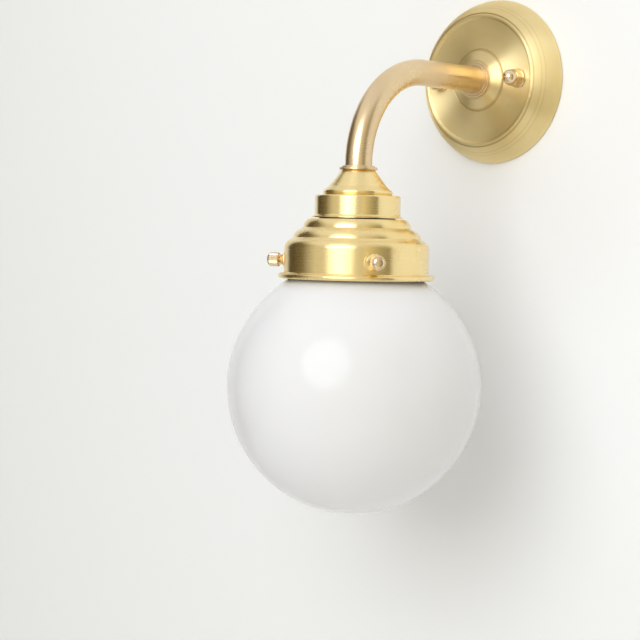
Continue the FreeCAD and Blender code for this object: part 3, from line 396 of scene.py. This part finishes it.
slotMaterials = {
    "satin_brass": makeBrass("spunBrassCup"),
    "polished_brass": makeBrass("drawnBrassTube"),
    "turned_brass": makeBrass("turnedBrass"),
    "contact_brass": makeBrass("contactBrass"),
    "zinc_steel": makePlain("zincSteel"),
    "lamp_cap_metal": makePlain("lampCapMetal"),
    "black_resin": makePlain("blackResin"),
    "ceramic": makePlain("steatite"),
    "white_resin": makePlain("whiteResin"),
    "nylon": makePlain("nylon"),
    "lamp_insulator": makePlain("lampInsulator"),
    "brown_sleeve": makePlain("brownSleeve"),
    "blue_sleeve": makePlain("blueSleeve"),
    "green_sleeve": makePlain("greenSleeve"),
    "opal_glass": makeGlass("opalGlass"),
    "frosted_glass": makeGlass("frostedGlass"),
}
nodeMaterials = {"wall_rose": makeBrass("spunBrassRose")}


def dressNodes():
    slots = {entry["node"]: entry["material_slot"] for entry in frame["record"]["subparts"]}
    for name, node in nodes.items():
        material = nodeMaterials.get(name, slotMaterials[slots[name]])
        for place in node.material_slots:
            place.material = material


dressNodes()
print("materials made")


# thumbscrews, M4, with straight knurls and a turned thread: one for each CAD node

screwShape = {
    "bearings": (54.0, 174.0, 294.0),  # from -Y towards +X
    "level": -0.1155,
    "teeth": 26,
    "dip": 0.925,  # the grooves of the knurl, as a share of the radius
    "radius": 0.0042,
    "start": 0.0478,
    "profile": ((0.0000, 0.86), (0.0006, 1.00), (0.0058, 1.00), (0.0064, 0.88)),  # height, share of radius
    "crown": ((0.0064, 0.80), (0.0070, 0.74), (0.0074, 0.52), (0.0077, 0.22)),
    "shank": 0.0020,
    "shankStart": 0.03983,
    "shankEnd": 0.0003,  # inside the head
    "pitch": 0.0007,
    "threadDip": 0.00030,
    "threadSteps": 32,
    "joinWithin": 1e-6,
    "edge": 0.00008,
    "edgeSegments": 2,
}


def ringAt(shape, share, height, around, radius, dip):
    # one closed ring of edges; every second corner sits in a groove of the knurl
    made = bmesh.ops.create_circle(shape, segments=around, radius=radius * share)
    for index, corner in enumerate(made["verts"]):
        if index % 2:
            corner.co.x *= dip
            corner.co.y *= dip
        corner.co.z = height
    return made["verts"]


def bridgeRings(shape, rings):
    for lower, upper in zip(rings, rings[1:]):
        edges = {edge for ring in (lower, upper) for corner in ring for edge in corner.link_edges
                 if all(end in ring for end in edge.verts)}
        bmesh.ops.bridge_loops(shape, edges=list(edges))


def makeThumbscrew(number, bearing):
    look = screwShape
    shape = bmesh.new()
    around = 2 * look["teeth"]
    rings = [ringAt(shape, share, height, around, look["radius"], look["dip"])
             for height, share in look["profile"]]
    rings += [ringAt(shape, share, height, around, look["radius"], 1.0) for height, share in look["crown"]]
    bridgeRings(shape, rings)
    for ring in (rings[0], rings[-1]):
        bmesh.ops.contextual_create(shape, geom=ring)
    # the shank's thread, a zigzag line turned round the axis
    height = look["shankStart"] - look["start"]
    corner = bmesh.ops.create_vert(shape, co=(look["shank"], 0.0, height))["vert"][0]
    line, edges = [corner], []
    while height + look["pitch"] / 2.0 < look["shankEnd"]:
        height += look["pitch"] / 2.0
        dip = look["threadDip"] if len(line) % 2 else 0.0
        made = bmesh.ops.extrude_vert_indiv(shape, verts=[corner])
        corner = made["verts"][0]
        corner.co = (look["shank"] - dip, 0.0, height)
        line.append(corner)
        edges += made["edges"]
    bmesh.ops.spin(shape, geom=line + edges, axis=(0.0, 0.0, 1.0), cent=(0.0, 0.0, 0.0),
                   angle=2.0 * math.pi, steps=look["threadSteps"], use_merge=True)
    bmesh.ops.remove_doubles(shape, verts=shape.verts, dist=look["joinWithin"])
    for height in (line[0].co.z, line[-1].co.z):
        rim = [edge for edge in shape.edges if edge.is_boundary
               and all(abs(end.co.z - height) < look["joinWithin"] for end in edge.verts)]
        bmesh.ops.holes_fill(shape, edges=rim)
    bmesh.ops.recalc_face_normals(shape, faces=shape.faces)
    turn = math.radians(bearing)
    outward = Vector((math.sin(turn), -math.cos(turn), 0.0))
    place = Matrix.Translation(lampAxis + outward * look["start"] + Vector((0.0, 0.0, look["level"])))
    bmesh.ops.transform(shape, matrix=place @ outward.to_track_quat("Z", "Y").to_matrix().to_4x4(),
                        verts=shape.verts)
    mesh = bpy.data.meshes.new(f"knurledScrew{number}")
    shape.to_mesh(mesh)
    shape.free()
    screw = bpy.data.objects.new(mesh.name, mesh)
    mesh.materials.append(slotMaterials["turned_brass"])
    scene.collection.objects.link(screw)
    soften = screw.modifiers.new("edges", "BEVEL")
    soften.width = look["edge"]
    soften.segments = look["edgeSegments"]
    soften.limit_method = "ANGLE"
    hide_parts(f"thumbscrew_{number}")
    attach(screw, f"shade_screw_{number}")


for screwNumber, screwBearing in enumerate(screwShape["bearings"], start=1):
    makeThumbscrew(screwNumber, screwBearing)
print("thumbscrews made")


# wall, floor and lights

studio = {
    "paint": (0.895, 0.90, 0.91),
    "paintRough": 0.9,
    "wallLeft": -3.0,
    "wallRight": 1.1,  # the brass shows where the wall ends on this side
    "wallTop": 2.2,
    "wallPlane": 0.0006,
    "roseHole": 0.0495,  # open behind the rose, so that its inside is lit when seen from behind
    "roseHoleSides": 64,
    "floorLevel": -0.9,
    "floorDepth": 3.0,
    "worldLight": 0.70,
    "worldTint": (1.0, 0.97, 0.865),
}
softBox = {
    "place": (0.35, -1.55, 0.46),
    "aim": (0.0, -0.13, -0.10),
    "width": 1.24,
    "glow": 3.5,  # the brightness of its face
    "tint": (0.93, 0.965, 1.0),
}
roomCards = {  # glow runs from the first value to the second along the card's own X
    "leftWall": {"middle": (-1.17, -1.66, -0.10), "width": 0.86, "height": 2.4, "turn": (90.0, -37.0),
                 "glow": (0.25, 0.80), "tint": (1.0, 0.95, 0.82)},
    "leftRoom": {"middle": (-1.50, -0.72, 0.00), "width": 1.34, "height": 2.2, "turn": (90.0, 90.0),
                 "glow": (0.22, 0.05), "tint": (1.0, 0.82, 0.50)},
    "rightRoom": {"middle": (1.10, -0.50, -0.10), "width": 0.96, "height": 1.7, "turn": (90.0, 90.0),
                  "glow": (0.90, 0.22), "tint": (1.0, 0.90, 0.62)},
    "ceiling": {"middle": (0.0, -1.10, 1.30), "width": 2.6, "height": 2.2, "turn": (0.0, 0.0),
                "glow": (0.95, 0.85), "tint": (1.0, 1.0, 1.0)},
}


def addPlane(shape, middle, width, height, turns):
    # a flat card of the given size, its face square to its own Z before the turns
    place = Matrix.LocRotScale(Vector(middle), turns, Vector((width, height, 1.0)))
    bmesh.ops.create_grid(shape, x_segments=1, y_segments=1, size=0.5, matrix=place)


def addStage(name, shape, material):
    mesh = bpy.data.meshes.new(name)
    shape.to_mesh(mesh)
    shape.free()
    mesh.materials.append(material)
    stage = bpy.data.objects.new(name, mesh)
    scene.collection.objects.link(stage)
    return stage


def makeWall():
    material, tree, shader = newMaterial("paleWall")
    shader.inputs["Base Color"].default_value = (*studio["paint"], 1.0)
    shader.inputs["Roughness"].default_value = studio["paintRough"]
    clear = tree.nodes.new("ShaderNodeBsdfTransparent")  # seen from behind, the wall lets the view through
    geometry = tree.nodes.new("ShaderNodeNewGeometry")
    mix = tree.nodes.new("ShaderNodeMixShader")
    output = [node for node in tree.nodes if node.type == "OUTPUT_MATERIAL"][0]
    tree.links.new(geometry.outputs["Backfacing"], mix.inputs["Fac"])
    tree.links.new(shader.outputs["BSDF"], mix.inputs[1])
    tree.links.new(clear.outputs["BSDF"], mix.inputs[2])
    tree.links.new(mix.outputs["Shader"], output.inputs["Surface"])
    shape = bmesh.new()
    width = studio["wallRight"] - studio["wallLeft"]
    middle = (studio["wallRight"] + studio["wallLeft"]) / 2.0
    height = studio["wallTop"] - studio["floorLevel"]
    depth = studio["floorDepth"]
    addPlane(shape, (middle, studio["wallPlane"], studio["floorLevel"] + height / 2.0), width, height,
             Euler((math.radians(90.0), 0.0, 0.0)))
    bmesh.ops.delete(shape, geom=shape.faces[:], context="FACES_ONLY")
    upright = Matrix.Rotation(math.radians(90.0), 4, "X")
    upright.translation.y = studio["wallPlane"]
    bmesh.ops.create_circle(shape, segments=studio["roseHoleSides"], radius=studio["roseHole"], matrix=upright)
    bmesh.ops.triangle_fill(shape, edges=shape.edges[:], normal=(0.0, -1.0, 0.0))
    bmesh.ops.reverse_faces(shape, faces=[face for face in shape.faces if face.normal.y > 0.0])
    addPlane(shape, (middle, studio["wallPlane"] - depth / 2.0, studio["floorLevel"]), width, depth, Euler())
    addStage("wallAndFloor", shape, material)


def makeCard(name):
    # one side of the room as the brass shows it, kept out of the camera's own view
    card = roomCards[name]
    material = bpy.data.materials.new(name)
    material.use_nodes = True
    tree = material.node_tree
    tree.nodes.clear()
    lift, turn = (math.radians(angle) for angle in card["turn"])
    split = tree.nodes.new("ShaderNodeSeparateXYZ")
    tree.links.new(objectCoordinates(tree, card["middle"], (0.0, 0.0, turn)), split.inputs[0])
    glow = rangeNode(tree, split.outputs["X"], -card["width"] / 2.0, card["width"] / 2.0, *card["glow"])
    emission = tree.nodes.new("ShaderNodeEmission")
    emission.inputs["Color"].default_value = (*card["tint"], 1.0)
    tree.links.new(glow, emission.inputs["Strength"])
    output = tree.nodes.new("ShaderNodeOutputMaterial")
    tree.links.new(emission.outputs["Emission"], output.inputs["Surface"])
    shape = bmesh.new()
    addPlane(shape, card["middle"], card["width"], card["height"], Euler((lift, 0.0, turn)))
    addStage(name, shape, material).visible_camera = False


def makeLight():
    world = bpy.data.worlds.new("studioWorld")
    world.use_nodes = True
    background = world.node_tree.nodes["Background"]
    background.inputs["Color"].default_value = (*studio["worldTint"], 1.0)
    background.inputs["Strength"].default_value = studio["worldLight"]
    scene.world = world
    data = bpy.data.lights.new("softBox", "AREA")
    data.shape = "DISK"
    data.size = softBox["width"]
    area = math.pi * softBox["width"] ** 2 / 4.0
    data.energy = softBox["glow"] * math.pi * area
    data.color = softBox["tint"]
    lamp = bpy.data.objects.new("softBox", data)
    lamp.location = softBox["place"]
    facing = Vector(softBox["aim"]) - Vector(softBox["place"])
    lamp.rotation_euler = facing.to_track_quat("-Z", "Y").to_euler()
    scene.collection.objects.link(lamp)


makeWall()
for cardName in roomCards:
    makeCard(cardName)
makeLight()
print("stage and lights set")
